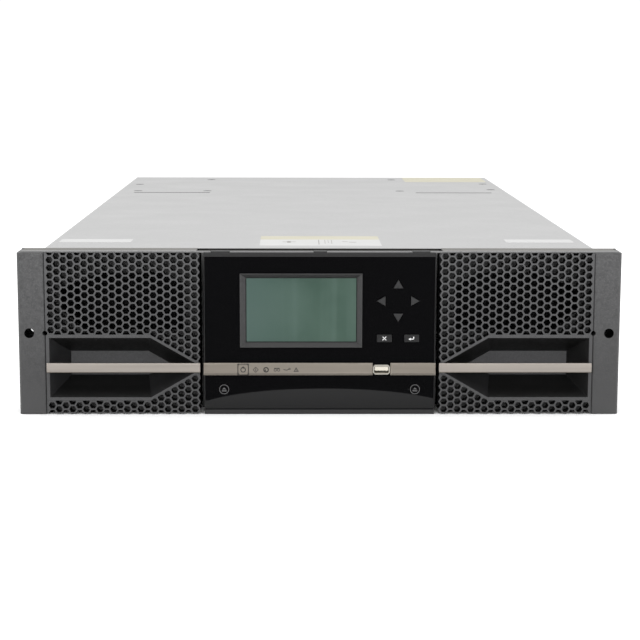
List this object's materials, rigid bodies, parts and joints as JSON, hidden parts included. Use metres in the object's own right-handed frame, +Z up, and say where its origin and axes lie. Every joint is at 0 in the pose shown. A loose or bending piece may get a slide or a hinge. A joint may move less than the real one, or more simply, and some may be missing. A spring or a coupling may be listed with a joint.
{
  "type": "rack tape library",
  "caption": "Three-unit rack-mount tape library with slide-out honeycomb magazines, centre operator panel, picker robot and plug-in drives and power supplies.",
  "frame": {"origin": "middle of the footprint, on the plane the case stands on", "axes": "+X to the right seen from the front, +Y towards the back, +Z up"},
  "size_m": [0.4826, 0.873, 0.1324],
  "materials": {
    "zinc_sheet": "satin zinc-plated sheet steel",
    "cover_paint": "fine light grey paint on sheet steel",
    "ear_plastic": "fine-grained dark grey moulding",
    "bezel_plastic": "satin dark grey moulding",
    "pocket_plastic": "dark grained moulding",
    "champagne_metal": "satin champagne anodised aluminium",
    "tray_steel": "dark sheet steel",
    "inner_plastic": "black glass-filled moulding",
    "gloss_black": "polished black",
    "frame_plastic": "spark-eroded dark grey plastic",
    "lcd_glass": "grey-green reflective display",
    "board": "coated circuit board",
    "bright_metal": "nickel-plated steel",
    "key_grey": "grey plastic key",
    "key_dark": "dark grey plastic key",
    "robot_plastic": "grey plastic moulding",
    "robot_metal": "milled aluminium",
    "grip_plastic": "orange plastic moulding"
  },
  "bodies": {
    "chassis": {"base_tray": "zinc_sheet", "front_flange": "zinc_sheet", "rear_panel": "zinc_sheet", "bulkhead": "zinc_sheet", "top_cover": "cover_paint", "cover_screws": "bright_metal", "left_ear_cap": "ear_plastic", "right_ear_cap": "ear_plastic", "left_guide_rails": "inner_plastic", "right_guide_rails": "inner_plastic", "drive_bay": "zinc_sheet", "power_supply_bay": "zinc_sheet", "controller_bay": "zinc_sheet", "panel_housing": "frame_plastic", "fascia": "gloss_black", "display_frame": "frame_plastic", "display_screen": "lcd_glass", "trim_strip": "champagne_metal", "control_board": "board", "usb_port": "bright_metal", "rack_posts": "robot_metal"},
    "left_magazine": {"left_bezel": "bezel_plastic", "left_bezel_backing": "inner_plastic", "left_handle_pocket": "pocket_plastic", "left_handle_bar": "champagne_metal", "left_magazine_tray": "tray_steel", "left_magazine_dividers": "inner_plastic", "left_cartridge_rails": "inner_plastic"},
    "right_magazine": {"right_bezel": "bezel_plastic", "right_bezel_backing": "inner_plastic", "right_handle_pocket": "pocket_plastic", "right_handle_bar": "champagne_metal", "right_magazine_tray": "tray_steel", "right_magazine_dividers": "inner_plastic", "right_cartridge_rails": "inner_plastic"},
    "lift": {"lift_frame": "robot_metal"},
    "carriage": {"picker_carriage": "robot_plastic"},
    "turntable": {"picker_turntable": "robot_plastic"},
    "gripper": {"picker_gripper": "grip_plastic"},
    "up_key_cap": {"up_key": "key_grey"},
    "down_key_cap": {"down_key": "key_grey"},
    "left_key_cap": {"left_key": "key_grey"},
    "right_key_cap": {"right_key": "key_grey"},
    "cancel_key_cap": {"cancel_key": "key_dark"},
    "enter_key_cap": {"enter_key": "key_dark"},
    "power_key_cap": {"power_key": "champagne_metal"},
    "left_release_button_cap": {"left_release_button": "gloss_black"},
    "right_release_button_cap": {"right_release_button": "gloss_black"},
    "drive_unit_1": {"drive_1": "tray_steel", "drive_1_sled": "zinc_sheet"},
    "drive_unit_2": {"drive_2": "tray_steel", "drive_2_sled": "zinc_sheet"},
    "drive_unit_3": {"drive_3": "tray_steel", "drive_3_sled": "zinc_sheet"},
    "power_unit_1": {"power_supply_1": "zinc_sheet"},
    "power_unit_2": {"power_supply_2": "zinc_sheet"},
    "controller_unit": {"library_controller": "zinc_sheet"}
  },
  "joints": [
    {"name": "left_magazine_slide", "type": "slide", "parent": "chassis", "child": "left_magazine", "axis": [0, -1, 0], "range_m": [0, 0.595]},
    {"name": "right_magazine_slide", "type": "slide", "parent": "chassis", "child": "right_magazine", "axis": [0, -1, 0], "range_m": [0, 0.595]},
    {"name": "up_key_press", "type": "slide", "parent": "chassis", "child": "up_key_cap", "axis": [0, 1, 0], "range_m": [0, 0.0008], "stiffness_N_per_m": 600},
    {"name": "down_key_press", "type": "slide", "parent": "chassis", "child": "down_key_cap", "axis": [0, 1, 0], "range_m": [0, 0.0008], "stiffness_N_per_m": 600},
    {"name": "left_key_press", "type": "slide", "parent": "chassis", "child": "left_key_cap", "axis": [0, 1, 0], "range_m": [0, 0.0008], "stiffness_N_per_m": 600},
    {"name": "right_key_press", "type": "slide", "parent": "chassis", "child": "right_key_cap", "axis": [0, 1, 0], "range_m": [0, 0.0008], "stiffness_N_per_m": 600},
    {"name": "cancel_key_press", "type": "slide", "parent": "chassis", "child": "cancel_key_cap", "axis": [0, 1, 0], "range_m": [0, 0.0008], "stiffness_N_per_m": 600},
    {"name": "enter_key_press", "type": "slide", "parent": "chassis", "child": "enter_key_cap", "axis": [0, 1, 0], "range_m": [0, 0.0008], "stiffness_N_per_m": 600},
    {"name": "power_key_press", "type": "slide", "parent": "chassis", "child": "power_key_cap", "axis": [0, 1, 0], "range_m": [0, 0.0008], "stiffness_N_per_m": 600},
    {"name": "left_release_button_press", "type": "slide", "parent": "chassis", "child": "left_release_button_cap", "axis": [0, 1, 0], "range_m": [0, 0.0008], "stiffness_N_per_m": 600},
    {"name": "right_release_button_press", "type": "slide", "parent": "chassis", "child": "right_release_button_cap", "axis": [0, 1, 0], "range_m": [0, 0.0008], "stiffness_N_per_m": 600},
    {"name": "lift_raise", "type": "slide", "parent": "chassis", "child": "lift", "axis": [0, 0, 1], "range_m": [0, 0.081]},
    {"name": "carriage_travel", "type": "slide", "parent": "lift", "child": "carriage", "axis": [0, 1, 0], "range_m": [0, 0.4376]},
    {"name": "turntable_turn", "type": "hinge", "parent": "carriage", "child": "turntable", "pos_m": [0, -0.3386, 0.0108], "axis": [0, 0, 1], "range_deg": [0, 180]},
    {"name": "gripper_reach", "type": "slide", "parent": "turntable", "child": "gripper", "axis": [1, 0, 0], "range_m": [0, 0.06]},
    {"name": "drive_1_pull", "type": "slide", "parent": "chassis", "child": "drive_unit_1", "axis": [0, 1, 0], "range_m": [0, 0.215]},
    {"name": "drive_2_pull", "type": "slide", "parent": "chassis", "child": "drive_unit_2", "axis": [0, 1, 0], "range_m": [0, 0.215]},
    {"name": "drive_3_pull", "type": "slide", "parent": "chassis", "child": "drive_unit_3", "axis": [0, 1, 0], "range_m": [0, 0.215]},
    {"name": "power_supply_1_pull", "type": "slide", "parent": "chassis", "child": "power_unit_1", "axis": [0, 1, 0], "range_m": [0, 0.19]},
    {"name": "power_supply_2_pull", "type": "slide", "parent": "chassis", "child": "power_unit_2", "axis": [0, 1, 0], "range_m": [0, 0.19]},
    {"name": "controller_pull", "type": "slide", "parent": "chassis", "child": "controller_unit", "axis": [0, 1, 0], "range_m": [0, 0.18]}
  ]
}
